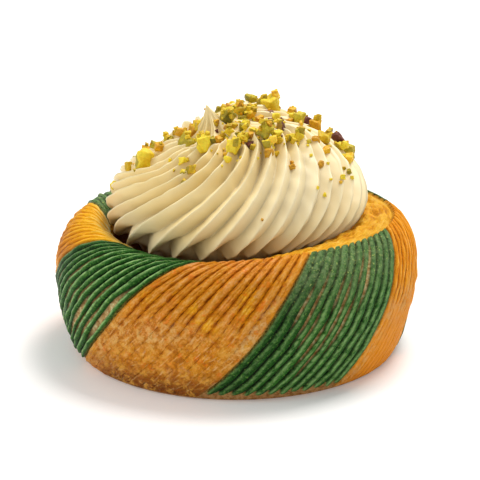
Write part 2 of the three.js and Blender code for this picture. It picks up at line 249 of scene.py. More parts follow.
# The green cords' ramp runs from painted shade, near black, in the furrows to a painted highlight on the
# crests
LEAF_STOPS = [(0.14, "020802"), (0.4, "10300a"), (0.64, "225416"), (0.92, "448030")]
GAP_STOPS = [(0.35, "a0703c"), (0.5, "cca468"), (0.65, "e8dca4")]
# A painted highlight for the green cords' edges, a painted grey sheen for them, and the colour of real light
# specks
PAINTED_HIGHLIGHT, PAINTED_SHEEN, SPECK = "9cc67a", "809864", "b4c06c"
BORDER_STOPS = [(0.4, "6a5414"), (0.6, "c0a450")]
PLAIN_STOPS = [(0.3, "b86c06"), (0.46, "eca21a"), (0.62, "fcc038"), (0.78, "feda84")]
UNDER_STOPS = [(0.35, "9c6830"), (0.6, "cc9a60")]
# Painted shade for the dough deep in the hollow
PAINTED_HOLLOW_SHADE = "7c3806"
# The cream's ramp runs from painted shade in the furrows to a painted highlight on the crests
CREAM_STOPS = [(0.12, "a08a4a"), (0.3, "d6c088"), (0.6, "ecd598"), (1.0, "fae9ba")]
# Painted shade for the cream's foot, then painted light that whitens the cream
PAINTED_CREAM_SHADE, PAINTED_LIGHT_CREAM = "cebb8c", "f4ead0"


def colour(code):
    """A linear colour from a hexadecimal sRGB one."""
    values = [int(code[i:i + 2], 16) / 255 for i in (0, 2, 4)]
    return [v / 12.92 if v <= 0.04045 else ((v + 0.055) / 1.055) ** 2.4 for v in values] + [1.0]


class Finish:
    """A material with one Principled shader, built node by node."""

    def __init__(self, name):
        self.material = bpy.data.materials.new(name)
        self.material.use_nodes = True
        self.tree = self.material.node_tree
        self.shader = self.tree.nodes["Principled BSDF"]
        self.here = self.tree.nodes.new("ShaderNodeTexCoord").outputs["Object"]

    def feed(self, socket, value):
        if isinstance(value, bpy.types.NodeSocket):
            self.tree.links.new(value, socket)
        else:
            socket.default_value = value

    def done(self, **inputs):
        """The material, with these patterns and constants on its shader's own inputs."""
        for key, value in inputs.items():
            self.feed(self.shader.inputs[key.replace("_", " ")], value)
        return self.material

    def node(self, kind, output, inputs, **settings):
        """The output of a new node with those settings, its inputs fed with outputs or constants."""
        node = self.tree.nodes.new("ShaderNode" + kind)
        for key, value in settings.items():
            setattr(node, key, value)
        for key, value in inputs.items():
            self.feed(node.inputs[key], value)
        return node.outputs[output]

    def attribute(self, name):
        return self.node("Attribute", "Fac", {}, attribute_name=name)

    def place(self, across, along):
        """A vector of two values, for patterns that run with the cords."""
        return self.node("CombineXYZ", "Vector", {"X": across, "Y": along})

    def noise(self, size, detail=3.0, roughness=0.55, vector=None):
        """Noise of lumps of that size: in metres on the object, or in the vector's own unit."""
        inputs = {"Vector": vector or self.here, "Scale": 1 / size, "Detail": detail, "Roughness": roughness}
        return self.node("TexNoise", "Fac", inputs)

    def math(self, operation, a, b):
        return self.node("Math", 0, {0: a, 1: b}, operation=operation)

    def times(self, first, *others):
        for other in others:
            first = self.math("MULTIPLY", first, other)
        return first

    def weighed(self, *terms):
        """A sum of terms, each a value and its weight. A third number is where the value adds nothing."""
        total = None
        for value, weight, *zero in terms:
            if zero:
                value = self.math("SUBTRACT", value, zero[0])
            term = self.times(value, weight)
            total = term if total is None else self.math("ADD", total, term)
        return total

    def span(self, value, low, high, to_low=0.0, to_high=1.0):
        """to_low where the value is low, to_high where it is high, and smoothly from one to the other."""
        inputs = {"Value": value, "From Min": low, "From Max": high, "To Min": to_low, "To Max": to_high}
        return self.node("MapRange", "Result", inputs, interpolation_type="SMOOTHSTEP")

    def mix(self, share, a, b):
        return self.node("Mix", "Result", {"Factor": share, "A": a, "B": b}, data_type="RGBA")

    def dabbed(self, base, code, share, pattern, low, high, most=1.0, least=0.0):
        """base dabbed with another colour: least of it where the pattern is low, most where it is high."""
        return self.mix(self.times(share, self.span(pattern, low, high, least, most)), base, colour(code))

    def ramp(self, value, stops):
        node = self.tree.nodes.new("ShaderNodeValToRGB")
        self.feed(node.inputs["Fac"], value)
        elements = node.color_ramp.elements
        while len(elements) < len(stops):
            elements.new(0.5)
        for element, (position, code) in zip(elements, stops):
            element.position = position
            element.color = colour(code)
        return node.outputs["Color"]

    def bump(self, height, distance, strength, **below):
        """Fine relief, of a distance in millimetres, over the Normal of another one below it."""
        inputs = {"Height": height, "Distance": distance * MM, "Strength": strength, **below}
        return self.node("Bump", "Normal", inputs)


# Below, f is the finish and p its patterns

def dough_patterns(f):
    """The mesh's values, and noise on it and along its cords."""
    names = ["crest", "green", "wrapped", "faded", "pale", "border", "baked", "gap", "pit", "shine", "way",
             "across", "dusty", "calm", "creamy"]
    p = SimpleNamespace(**{name: f.attribute(name) for name in names})
    p.lively = f.math("SUBTRACT", 1.0, p.calm)
    p.fine = f.noise(0.0006, 3, 0.7)
    p.grain = f.noise(0.0013, 4, 0.65)
    p.blotch = f.noise(0.0026, 4, 0.7)
    p.ember = f.noise(0.0028, 3, 0.6)
    p.patch = f.noise(0.0065, 4, 0.6)
    p.streak = f.noise(0.45, 3, 0.6, f.place(p.across, f.times(p.way, 0.3)))
    p.strand = f.noise(0.22, 2, 0.5, f.place(p.across, f.times(p.way, 0.08)))
    return p


def golden_cords(f, p):
    """The colour of the golden cords, in layers."""
    # Yellow to brown with the baking, and patchy where the cords aren't calm. Lighter on the crests, a
    # painted highlight, and darker in the furrows and notches, painted shade
    level = f.weighed((p.crest, 0.42), (p.streak, 0.44), (p.strand, 0.55, 0.5), (p.fine, 0.5, 0.5))
    patchy = f.times(f.math("SUBTRACT", p.patch, 0.5), f.math("SUBTRACT", 1.1, f.times(p.calm, 0.8)))
    # The baking value is partly painted shade: it darkens the golden cords low down
    toasted_and_shaded = f.math("ADD", p.baked, patchy)
    gold = f.ramp(level, GOLD_STOPS)
    gold = f.mix(f.span(toasted_and_shaded, 0.42, 0.72), gold, f.ramp(level, BROWN_STOPS))
    gold = f.mix(f.span(toasted_and_shaded, 0.34, 0.1), gold, f.ramp(level, YELLOW_STOPS))
    gold = f.dabbed(gold, EMBER, p.lively, p.ember, 0.59, 0.67, 0.6)
    gold = f.dabbed(gold, PALE_EMBER, p.lively, p.ember, 0.4, 0.33, 0.5)

    # Bright and even where calm, lighter on the crests there, a painted highlight. Elsewhere painted shade in
    # the furrows higher up, warm and dark, a brown foot low down, partly real browning and partly painted
    # shade, and painted shade in the pits
    thread = f.weighed((p.crest, 0.6), (p.strand, 0.4))
    gold = f.mix(f.times(p.calm, 0.85), gold, f.ramp(thread, BRIGHT_STOPS))
    furrow = f.times(f.span(p.crest, 0.85, 0.2), p.lively, f.span(p.way, -12.0, -2.0, 0.0, 0.85))
    gold = f.mix(furrow, gold, f.ramp(p.streak, PAINTED_FURROW_SHADE))
    foot = f.times(p.lively, f.span(p.way, -12.0, -22.0, 0.0, 0.85))
    gold = f.mix(foot, gold, f.ramp(p.streak, FOOT_STOPS))
    gold = f.mix(f.times(p.pit, 0.85), gold, colour(PAINTED_PIT_SHADE))

    # Blotches and flakes where the relief is faded
    faded = f.times(p.faded, p.lively)
    gold = f.dabbed(gold, LIGHT_BLOTCH, faded, p.blotch, 0.5, 0.62, 0.65)
    gold = f.dabbed(gold, DARK_BLOTCH, faded, p.blotch, 0.48, 0.38, 0.6)
    gold = f.dabbed(gold, FLAKE, faded, p.strand, 0.58, 0.7, 0.42)

    # Lighter and lighter towards the hollow where creamy, and flaky where pale
    sunny = f.weighed((p.creamy, 1.0), (thread, 0.6, 0.65))
    gold = f.mix(f.span(p.creamy, 0.0, 0.3), gold, f.ramp(sunny, SUNNY_STOPS))
    flaky = f.times(p.pale, f.span(p.blotch, 0.42, 0.6, 0.15, 1.0))
    return f.mix(flaky, gold, f.ramp(p.grain, FLAKY_STOPS))


def green_cords(f, p):
    """A painted highlight along one edge, a painted grey sheen with real light specks near the top of some
    stripes, painted shade near black in the furrows, and pale dough in the gaps.
    """
    # Darker in the furrows and lighter on the crests: painted shade and painted highlight
    level = f.weighed((p.crest, 0.52), (p.fine, 0.9, 0.5), (p.strand, 0.45))
    leaf = f.ramp(level, LEAF_STOPS)
    leaf = f.dabbed(leaf, PAINTED_HIGHLIGHT, p.shine, p.streak, 0.3, 0.6)
    # A painted grey sheen, then real light specks
    leaf = f.dabbed(leaf, PAINTED_SHEEN, p.dusty, p.grain, 0.4, 0.6, 0.7, 0.2)
    leaf = f.dabbed(leaf, SPECK, f.math("ADD", p.dusty, 0.2), p.fine, 0.6, 0.67)
    return f.mix(p.gap, leaf, f.ramp(p.grain, GAP_STOPS))


def plain_dough(f, p):
    """The dough inside the rim, in thin layers, with painted shade that browns it deep down under the cream,
    and the duller foot below the cords.
    """
    level = f.weighed((p.patch, 0.35), (p.streak, 0.5), (p.crest, 0.2), (p.fine, 0.3, 0.5))
    plain = f.ramp(level, PLAIN_STOPS)
    plain = f.mix(f.span(p.baked, 0.25, 0.9), plain, colour(PAINTED_HOLLOW_SHADE))
    return f.mix(f.span(p.way, 0.0, -5.0), plain, f.ramp(p.grain, UNDER_STOPS))


def dough_finish():
    """Baked dough: golden cords, green cords, the seam between them, and plain dough."""
    f = Finish("baked_dough")
    p = dough_patterns(f)
    wrap = f.mix(p.green, golden_cords(f, p), green_cords(f, p))
    wrap = f.mix(f.times(p.border, 0.8), wrap, f.ramp(p.fine, BORDER_STOPS))
    pores = f.bump(f.span(p.fine, 0.35, 0.65), 0.22, 0.8)
    return f.done(
        Base_Color=f.mix(p.wrapped, plain_dough(f, p), wrap),
        Roughness=f.span(f.math("ADD", p.fine, p.grain), 0.7, 1.3, 0.34, 0.6),
        Normal=f.bump(f.weighed((p.grain, 1.0), (p.strand, 0.8)), 0.6, 0.8, Normal=pores),
        Specular_IOR_Level=0.09, Subsurface_Weight=0.06, Subsurface_Scale=0.001)


def cream_finish():
    """Piped cream: painted shade, darker and yellower, in the furrows and a painted highlight on the crests,
    painted shade that dulls it at the foot, and painted light that whitens it where the mesh says so.
    """
    f = Finish("piped_cream")
    shade = f.ramp(f.weighed((f.attribute("crest"), 0.6), (f.noise(0.012, 3, 0.5), 0.5)), CREAM_STOPS)
    # Painted shade: duller towards the cream's foot
    shade = f.mix(f.span(f.attribute("way"), 18.0, 1.0, 0.0, 0.55), shade, colour(PAINTED_CREAM_SHADE))
    return f.done(
        Base_Color=f.mix(f.attribute("painted_light"), shade, colour(PAINTED_LIGHT_CREAM)),
        Roughness=f.span(f.noise(0.003, 3), 0.3, 0.7, 0.4, 0.52),
        Normal=f.bump(f.noise(0.0018, 3, 0.5), 0.12, 0.35), Specular_IOR_Level=0.35,
        Subsurface_Weight=0.12, Subsurface_Scale=0.0015, Subsurface_Radius=(1.0, 0.9, 0.6))


def nut_finish(name, stops, skin):
    """Broken nut: each piece has its own tone, with mottled faces, some of them still covered by skin."""
    f = Finish(name)
    mottle = f.noise(0.0014, 4, 0.65)
    flesh = f.ramp(f.weighed((f.attribute("tone"), 0.45), (mottle, 0.75)), stops)
    covered = f.weighed((f.attribute("skin"), 1.0), (mottle, 1.6, 0.5))
    return f.done(
        Base_Color=f.mix(f.span(covered, 0.35, 0.85, 0.0, 0.7), flesh, colour(skin)),
        Normal=f.bump(f.noise(0.0007, 4, 0.65), 0.25, 0.8), Roughness=0.5,
        Specular_IOR_Level=0.4, Subsurface_Weight=0.12, Subsurface_Scale=0.001)


# ---- The bun ----

CORDS = CORDS_PER_STRIPE * len(STRIPE_EDGES)
CORD_ACROSS = np.array([0.0, 0.07, 0.2, 0.36, 0.5, 0.64, 0.8, 0.93, 1.0])  # the mesh's columns across a cord
FOOT_ROWS, SIDE_ROWS, RIM_ROWS, PLAIN_ROWS = 11, 54, 4, 30
FOOT_SHARE, RIM_SHARE = 0.09, 0.97  # where the side's rows begin and end, as shares of the wrap's way up
SWELLS = [(2, 0.35, 0.6), (3, 0.3, 2.4), (5, 0.22, 0.0)]  # waves round the bun, their height and their phase
CORD_SEED = 11
CORD_JITTER = 0.09  # how unevenly wide the cords are, as a share of a cord
FURROW_WANDER = 0.14  # degrees
GREEN_FURROW = 0.045  # half width, as a share of a cord
GOLDEN_FURROW = 0.4 * GREEN_FURROW
GREEN_SECTION = (-1.25, 0.8, 2.2)  # its furrow's depth, its lean to one side (1 is upright), its roundness
GOLDEN_SECTION = (-1.0, 1.0, 1.9)
NOTCH_WIDTH, NOTCH_DEPTH = 0.12, 0.9  # as shares of a cord and of its relief
PIT_DEPTH = 0.25
HEIGHT_VARIETY = 0.3  # how unevenly high a cord is along itself, as a share of its relief
BORDER_WIDTH = 0.12  # of the seam between two stripes, in cords
FLAKY_STRIP = (11.35, 0.5)  # place and width in its stripe of the strip beside a green one, in cords
SMOOTH_CORDS = (1.0, 4.5)  # a green stripe is smoothest up to one number of cords, and not from the other
LUMP_HEIGHT = 0.12
PIT_COLUMNS = np.array([1.0, 0.5] + [0.0] * (len(CORD_ACROSS) - 2) + [0.5])  # pits lie in the furrows
GREEN_END, GREEN_END_ROUND = 2.4, 1.4  # how far above the foot a green cord ends, and how much its end curves
FOOT_INSET = 0.35

# Random relief that differs from cord to cord: how far apart neighbours are in it, the size of its lumps
# along them, and its seed
CORD_FIELDS = {
    "wander": (3.1, 11.0, 21), "height": (2.7, 6.0, 31), "notch": (4.1, 6.0, 33), "pit": (5.3, 1.6, 35),
    "break": (6.1, 4.5, 36),
}
# And relief that runs on over all of them: the size of its lumps, its seed and, if not the usual, its waves
FADE_FIELD, LUMP_FIELD, ROUGH_FIELD = (14.0, 5), (5.0, 41), (1.7, 42)
PLAIN_LAYER_FIELD, PLAIN_LUMP_FIELD = (2.4, 53, 20), (7.0, 51)

# Gaps where green cords part, by stripe: the furrow's number, the way up to the gap's middle, half its
# length, its half width as a share of a cord, and how plainly the dough shows. Stripes 0 and 2 are as 6
PARTED = {
    4: [(11, -2, 9, 0.25, 1), (8, -7, 9, 0.26, 1), (4, 6.5, 4, 0.07, 0.6), (7, 3.5, 4, 0.08, 0.7),
        (9, 4.5, 4, 0.08, 0.7), (3, -3.5, 5, 0.1, 0.9), (4, 13, 4, 0.05, 0.5), (5, 1, 4, 0.05, 0.7),
        (6, -1, 5, 0.06, 0.8), (10, -6, 6, 0.09, 0.9), (9, -8, 5, 0.07, 0.8), (2, 2, 4, 0.05, 0.6)],
    6: [(8, 8, 7, 0.1, 1), (6, 1, 7, 0.08, 0.85), (3, 3.5, 7, 0.07, 0.75), (5, 6, 4, 0.06, 0.6),
        (2, 4, 4.5, 0.05, 0.6), (6, -11, 5, 0.06, 0.7), (5, -7, 5, 0.06, 0.7), (7, -3, 6, 0.08, 0.8),
        (7, 10, 3, 0.05, 0.7), (4, -3, 4, 0.04, 0.7)],
}


def bun_profile():
    """From the foot to the hollow's floor. The way is 0 at the widest place, and negative below it."""
    widest = (BUN_RADIUS, WIDEST_HEIGHT)
    crest = (CREST_RADIUS, BUN_HEIGHT)
    side = quarter((FOOT_RADIUS, 0.0), widest, SIDE_ROUNDNESS, False)
    shoulder = quarter(widest, crest, SHOULDER_ROUNDNESS, True)
    wall = quarter(crest, (HOLLOW_RADIUS, HOLLOW_FLOOR), WALL_ROUNDNESS, False)
    length = np.hypot(*np.diff(side, axis=0).T).sum()
    return Profile(np.concatenate([side, shoulder[1:], wall[1:]]), -length)


def swelling(angle):
    """How far the side stands out there, as the bun isn't perfectly round."""
    return sum(height * np.cos(waves * angle + phase) for waves, height, phase in SWELLS)


def cord_angle(middle, way):
    """Where a cord that crosses the widest place at the angle middle is at another way up, in radians."""
    slant = CORD_SLANT - CORD_SLANT_SWING * np.cos(middle)
    return middle + (slant * way + CORD_CURL * way * np.abs(way)) * DEGREE


def wrap_edge_way(angle):
    """How far up the cords end."""
    return WRAP_EDGE - WRAP_EDGE_SWING * np.cos(angle)


def bun_point(profile, way, angle, lift):
    """The points at those ways up and angles round the bun, lifted off its plain surface."""
    profile_radius, height, out_r, out_z = profile.at(way)
    lift = lift + swelling(angle) * smoothstep(height, FOOT_HEIGHT, WIDEST_HEIGHT)
    inside = np.maximum(0.0, CREST_RADIUS - profile_radius) / (CREST_RADIUS - HOLLOW_RADIUS) * (way > 0)
    radius = profile_radius + out_r * lift - HOLLOW_SHIFT * inside * np.cos(angle)
    level = np.maximum(0.0, height + out_z * lift)
    rear = REAR_RISE * np.maximum(0.0, np.cos(angle - REAR_SIDE * DEGREE)) ** 2
    rear = rear * smoothstep(level, WIDEST_HEIGHT / 2, BUN_HEIGHT)
    height = level + rear * smoothstep(profile_radius, HOLLOW_RADIUS + REAR_EDGE, CREST_RADIUS)
    return leaned(radius * np.cos(angle), radius * np.sin(angle), height, FRONT_LEAN)


def cord_edges():
    """The angle of each furrow at the widest place, in degrees. The cords aren't all as wide."""
    draw = np.random.default_rng(CORD_SEED)
    edges = []
    for start, end in zip(STRIPE_EDGES, STRIPE_EDGES[1:] + [STRIPE_EDGES[0] + 360]):
        width = (end - start) / CORDS_PER_STRIPE
        jitter = draw.uniform(-CORD_JITTER, CORD_JITTER, CORDS_PER_STRIPE - 1) * width
        edges.extend(start + width * np.arange(CORDS_PER_STRIPE) + np.append(0.0, jitter))
    return np.array(edges)


def cord_field(name, number, way):
    """Random relief at a way along the cord of that number, mostly from -1 to 1."""
    apart, size, seed = CORD_FIELDS[name]
    return uneven([number * apart, way], size, seed)


def furrow_wander(number, way):
    """How far a furrow strays to a side, in degrees. The ones between two stripes don't."""
    return FURROW_WANDER * cord_field("wander", number, way) * (number % CORDS_PER_STRIPE != 0)


def furrow_widths(number, way):
    """Half width of each furrow, as a share of a cord, and how much of the dough below shows in it."""
    width = np.where(number // CORDS_PER_STRIPE % 2 == 0, GREEN_FURROW, GOLDEN_FURROW) + 0.0 * way
    shows = np.zeros_like(width)
    for stripe in range(0, len(STRIPE_EDGES), 2):
        for furrow, middle, half, wide, plainly in PARTED.get(stripe, PARTED[6]):
            here = (number == stripe * CORDS_PER_STRIPE + furrow) * np.exp(-(((way - middle) / half) ** 4))
            width += here * wide
            shows += here * plainly
    return width, shows


def wrap_rows():
    """Shares of the way from the foot to the wrap's upper edge, closer together at both ends."""
    foot = np.linspace(0.0, FOOT_SHARE, FOOT_ROWS, endpoint=False)
    side = np.linspace(FOOT_SHARE, RIM_SHARE, SIDE_ROWS, endpoint=False)
    return np.concatenate([foot, side, np.linspace(RIM_SHARE, 1.0, RIM_ROWS)])


def cord_grid(foot):
    """The wrap before its relief. Arrays run over rows up the side, cords, and columns across each cord."""
    edges = cord_edges()
    number = np.arange(CORDS)[None, :, None]
    after = (number + 1) % CORDS
    share = wrap_rows()[:, None, None]
    low = edges[None, :, None]
    high = np.append(edges[1:], edges[0] + 360)[None, :, None]

    # Rows for each cord as a whole, and what its two furrows are like there
    edge_way = wrap_edge_way(cord_angle((low + (high - low) * 0.5) * DEGREE, WRAP_EDGE))
    way = foot + (edge_way - foot) * share
    low = low + furrow_wander(number, way)
    high = high + furrow_wander(after, way)
    width_low, shows = furrow_widths(number, way)
    width_high, _ = furrow_widths(after, way)

    # Columns: the furrow's middle, then the cord itself from side to side, each up to the wrap's edge
    cords = SimpleNamespace(foot=foot)
    body = width_low + (1 - width_low - width_high) * CORD_ACROSS
    cords.part = np.concatenate([np.zeros_like(width_low), body], axis=2)
    cords.in_cord = np.append(0.0, CORD_ACROSS)
    cords.angle = (low + (high - low) * cords.part) * DEGREE
    cords.edge_way = wrap_edge_way(cord_angle(cords.angle, WRAP_EDGE))
    cords.way = foot + (cords.edge_way - foot) * share
    cords.turned = cord_angle(cords.angle, cords.way)
    cords.place = [BUN_RADIUS * np.cos(cords.turned), BUN_RADIUS * np.sin(cords.turned), cords.way]
    cords.side = np.cos(cords.turned)  # 1 on the right of the pastry and -1 on its left
    cords.number = np.broadcast_to(number, cords.part.shape)
    cords.stripe = cords.number // CORDS_PER_STRIPE
    cords.in_stripe = cords.number % CORDS_PER_STRIPE + cords.part
    cords.at_border = np.minimum(cords.in_stripe, CORDS_PER_STRIPE - cords.in_stripe)
    cords.green = (cords.stripe % 2 == 0).astype(float)
    cords.golden = 1 - cords.green
    cords.shows = shows[:, :, 0]
    return cords


def cord_section(furrow, lean, roundness):
    """Across a cord's columns: the furrow's depth first, then from -1 to 1 on the crest and back."""
    return np.append(furrow, 2 * np.sqrt(1 - np.abs(2 * CORD_ACROSS ** lean - 1) ** roundness) - 1)


def shape_cords(cords):
    """Adds the wrap's relief, as a lift in millimetres, and the marks that its colours follow too."""
    number, way, side, place, in_stripe = cords.number, cords.way, cords.side, cords.place, cords.in_stripe
    green, golden = cords.green, cords.golden

    # Golden cords are notched along their middle here and there, and pitted in their furrows
    notched = golden * bell(cords.in_cord, 0.5, NOTCH_WIDTH)
    notched = notched * smoothstep(cord_field("notch", number, way), -0.7, 0.6)
    section = np.where(green > 0, cord_section(*GREEN_SECTION), cord_section(*GOLDEN_SECTION))
    section = section - NOTCH_DEPTH * notched
    pits = golden * smoothstep(cord_field("pit", number, way), -0.2, 0.9) * PIT_COLUMNS

    # The relief fades low on golden stripes, in their strip beside the next green one, and on the first cords
    # of a green stripe. On golden stripes it is also uneven in front and behind
    wander = uneven(place, *FADE_FIELD)
    faded = golden * smoothstep(3.0 * wander - way - 4.0 * side, -1.0, 7.0)
    beside = golden * bell(in_stripe, *FLAKY_STRIP)
    beside = beside * smoothstep(way, -19.0, -12.0) * smoothstep(-way, -18.0, -8.0)
    smooth = green * (1 - smoothstep(in_stripe, *SMOOTH_CORDS)) * 0.55
    broken = 0.55 - 0.4 * smoothstep(cord_field("break", number, way), -1.0, 1.0)
    broken = 1 - golden * broken * (1 - np.abs(side))
    relief = CORD_RELIEF * broken * (1 - 0.85 * faded) * (1 - 0.6 * beside) * (1 - smooth)
    height = 1 + HEIGHT_VARIETY * cord_field("height", number, way)
    lift = relief * np.where(section > 0, section * height, section)

    # Lumps, fewer on the right, and a deeper furrow between two stripes
    few = 1 - 0.6 * np.maximum(0.0, side)
    rough = 0.03 + 0.05 * golden + 0.04 * faded
    lumps = few * (LUMP_HEIGHT * uneven(place, *LUMP_FIELD) + rough * uneven(place, *ROUGH_FIELD))
    border_depth = (EDGE_RELIEF - CORD_RELIEF) * bell(cords.at_border, 0.0, BORDER_WIDTH)
    lift = lift - border_depth + lumps - PIT_DEPTH * pits

    # Green cords end in a round tip above the foot, and golden ones fade into it
    above = way - cords.foot
    end = GREEN_END + GREEN_END_ROUND * np.abs(2 * (in_stripe % 1.0) - 1) ** 2
    green_wrapped = smoothstep(above, end - 0.15, end + 0.15)
    wrapped = np.where(green > 0, green_wrapped, smoothstep(above, 0.3, 1.2))
    lift = lift * wrapped - FOOT_INSET * (1 - wrapped) * green
    vars(cords).update(lift=lift * smoothstep(above, 0.0, 0.9), notched=notched, section=section, pits=pits,
                       wander=wander, faded=faded, beside=beside, smooth=smooth, wrapped=wrapped)


def cord_values(cords):
    """The values that the finish reads, for every point of the wrap."""
    way, side, in_stripe, green, golden = cords.way, cords.side, cords.in_stripe, cords.green, cords.golden

    # Pale and flaky: beside the next green stripe, low down at the other border, and a patch at mid height
    pale = cords.beside * (0.2 + 0.75 * bell(way, -3.0, 7.0))
    pale = pale + 0.5 * golden * bell(in_stripe, 0.8, 1.3) * smoothstep(-way, -6.0, 10.0)
    pale = pale + 0.6 * golden * bell(in_stripe, 4.5, 2.5) * bell(way, -4.0, 4.5)

    # Baked darker on the shoulder in front and lighter on the left. Dark low down on golden stripes, partly
    # real browning and partly painted shade
    baked = 0.42 + 0.2 * smoothstep(way, 4.0, 16.0) * (1 - np.abs(side)) - 0.15 * side ** 2
    baked = baked - 0.35 * smoothstep(way, 4.0, 14.0) * smoothstep(-side, 0.4, 0.9)
    baked = baked + 0.4 * smoothstep(-way, 14.0, 22.0) * golden + 0.12 * cords.wander

    golden_crest = np.sin(math.pi * cords.in_cord) - 0.5 * cords.notched
    crest = np.where(green > 0, np.clip(0.5 + 0.5 * cords.section, 0, 1), golden_crest)
    crest = crest * (1 - np.maximum(0.75 * cords.faded, 0.45 * cords.smooth)) + 0.5 * cords.faded
    # A painted grey sheen high on every other green stripe, where real light specks lie too
    dusty = green * (cords.stripe % 4 == 2) * smoothstep(way, 0.0, 14.0)
    # A painted highlight along the upper edge of each green cord, stronger on the left
    shine = green * bell(cords.in_cord, 0.26, 0.16) * (1 - cords.smooth) * (1 - 0.7 * dusty)
    shine = shine * (0.75 + 0.55 * smoothstep(-side, 0.0, 0.7))
    calm = golden * np.maximum(smoothstep(side, 0.1, 0.8), smoothstep(-side, 0.7, 0.92))
    creamy = golden * np.clip((way - 3.0) / 25.0, 0.0, 1.0) * smoothstep(-side, 0.3, 0.8)
    gap = np.zeros_like(cords.part)
    gap[:, :, 0] = cords.shows
    gap[:, :, 1] = 0.9 * cords.shows
    gap[:, :, -1] = 0.9 * np.roll(cords.shows, -1, axis=1)
    return {
        "crest": crest, "shine": shine, "dusty": dusty, "gap": gap, "creamy": creamy, "calm": calm,
        "pit": cords.pits * (1 - 0.5 * cords.faded), "green": green, "wrapped": cords.wrapped,
        "faded": cords.faded, "pale": pale, "baked": baked, "border": bell(cords.at_border, 0.0, 0.1),
        "across": cords.number + cords.part, "way": way,
    }


def plain_rings(profile, cords, names):
    """The plain dough, from the wrap's upper edge down into the hollow: its rings and their values."""
    share = np.linspace(0.0, 1.0, PLAIN_ROWS)[:, None, None]
    start = cords.edge_way[-1:] + STEP_WAY
    way = start + (profile.ways[-1] - start) * share
    turned = cord_angle(cords.angle[-1:], way)
    on_right = np.maximum(0.0, np.cos(turned + 0.3))
    rise = DOUGH_RISE * np.sin(math.pi * share) * np.maximum(0.0, np.cos(turned + 0.5))
    rise = rise + 0.7 * on_right * smoothstep(share, 0.3, 0.6)
    x, y = BUN_RADIUS * np.cos(turned), BUN_RADIUS * np.sin(turned)
    layers = 1 - np.abs(uneven([x * 0.2, y * 0.2, way], *PLAIN_LAYER_FIELD))
    lumps = 0.3 * uneven([x, y, 3 * way], *PLAIN_LUMP_FIELD) + 0.28 * np.maximum(-0.6, layers - 0.4)
    settle = smoothstep(share, 0.0, 0.15) * (1 - smoothstep(share, 0.5, 0.75))
    rings = bun_point(profile, way, turned, rise - WRAP_THICKNESS * (1 - share) + lumps * settle)

    zero = np.zeros(way.shape)
    values = {name: zero for name in names}
    # Painted shade: browner deep down in the hollow under the cream, less so on the right
    values["baked"] = smoothstep(share - 0.45 * on_right, 0.25, 0.65) + zero
    values["crest"] = np.clip(layers, 0.0, 1.0)
    values["across"] = 0.35 * (cords.number + cords.part)[-1:] + zero
    values["way"] = way * 6
    return rings, values


def build_bun():
    profile = bun_profile()
    cords = cord_grid(profile.ways[0])
    shape_cords(cords)
    wrap = bun_point(profile, cords.way, cords.turned, cords.lift)
    wrap_values = cord_values(cords)
    plain, plain_values = plain_rings(profile, cords, wrap_values)

    rings = np.concatenate([wrap, plain])
    rows = len(rings)
    values = {name: np.concatenate([wrap_values[name], plain_values[name]]).reshape(rows, -1)
              for name in wrap_values}
    rings = rings.reshape(rows, -1, 3)
    return ring_piece("bun_dough", rings, (0, 0, 0), (0, 0, HOLLOW_FLOOR), values, dough_finish())


# ---- The cream ----

RIDGE_COLUMNS = 20
CREAM_ROWS = 150
ROOT_WAYS = [-2.0, -1.2, -0.6, -0.2]  # more rows, where the teeth begin
RIDGE_SEED = 3
RIDGE_JITTER = 0.1  # how unevenly wide the ridges are, as a share of a ridge
RIDGE_FIELD = (16.0, 61)  # the size and the seed of their random strength
RIDGES_APART = 3.3
RIDGE_VARIETY = 0.2
CREAM_LUMP_FIELD = (6.0, 62)
CREAM_LUMP_HEIGHT = 0.08  # as a share of the ridges' relief
SOFT_SIDE, SOFT_REACH = 330.0, 30.0  # degrees: where the ridges are lower
# Painted light: the side where the cream is whitened most
PAINTED_LIGHT_SIDE = 320.0  # degrees: where the cream is least yellow


def cream_profile():
    """From the plug's underside to the tip. The way is 0 at the teeth's lower edge."""
    plug = [(PLUG_RADIUS, HOLLOW_FLOOR + GAP), (PLUG_RADIUS + 2, TEETH_HEIGHT - 2.4)]
    body = spline([
        (BELLY_RADIUS - 2.6, TEETH_HEIGHT), (BELLY_RADIUS - 0.6, TEETH_HEIGHT + 2.6),
        (BELLY_RADIUS, BELLY_HEIGHT), (32.8, 51.6), (26, 57), (20.5, 60.6), (SWIRL_RADIUS, SWIRL_HEIGHT),
        (16.6, 62.3), (13.5, 62.8), (9.6, 63.8), (6.2, 65), (3.9, 66.5), (2.2, 68.4), (1.1, 70.4),
        (0.3, TIP_HEIGHT - 0.4),
    ])
    start = math.dist(plug[0], plug[1]) + math.dist(plug[1], body[0])
    return Profile(np.concatenate([plug, body]), -start)


def swirl_rise(angle):
    """How much higher than SWIRL_HEIGHT the swirl's crest is on that side."""
    place = (angle / DEGREE % 360) * len(SWIRL_RISES) / 360
    rises = np.array(SWIRL_RISES)
    low = place.astype(int) % len(rises)
    share = smoothstep(place - np.floor(place), 0.0, 1.0)
    return rises[low] * (1 - share) + rises[(low + 1) % len(rises)] * share


def ridge_angle(side, way):
    """The angle, in degrees, of the ridge that crosses the swirl's crest at the angle side."""
    down = np.clip(1 - way / SWIRL_WAY, 0.0, 1.0)
    once = SPREAD_ONCE[0] * np.cos((side - SPREAD_ONCE[1]) * DEGREE)
    twice = SPREAD_TWICE[0] * np.cos(2 * (side - SPREAD_TWICE[1]) * DEGREE)
    outer = SPIRAL * down ** 1.2 + (SPIRAL_MORE + once + twice) * down ** 2.5
    return side - outer + INNER_SPIRAL * np.maximum(0.0, way - SWIRL_WAY)


def ridge_crest(part, furrow):
    """1 on a ridge's crest and 0 in its furrow, for shares of the way from crest to crest."""
    return np.where(part < furrow, 1 - part / furrow, (part - furrow) / (1 - furrow))


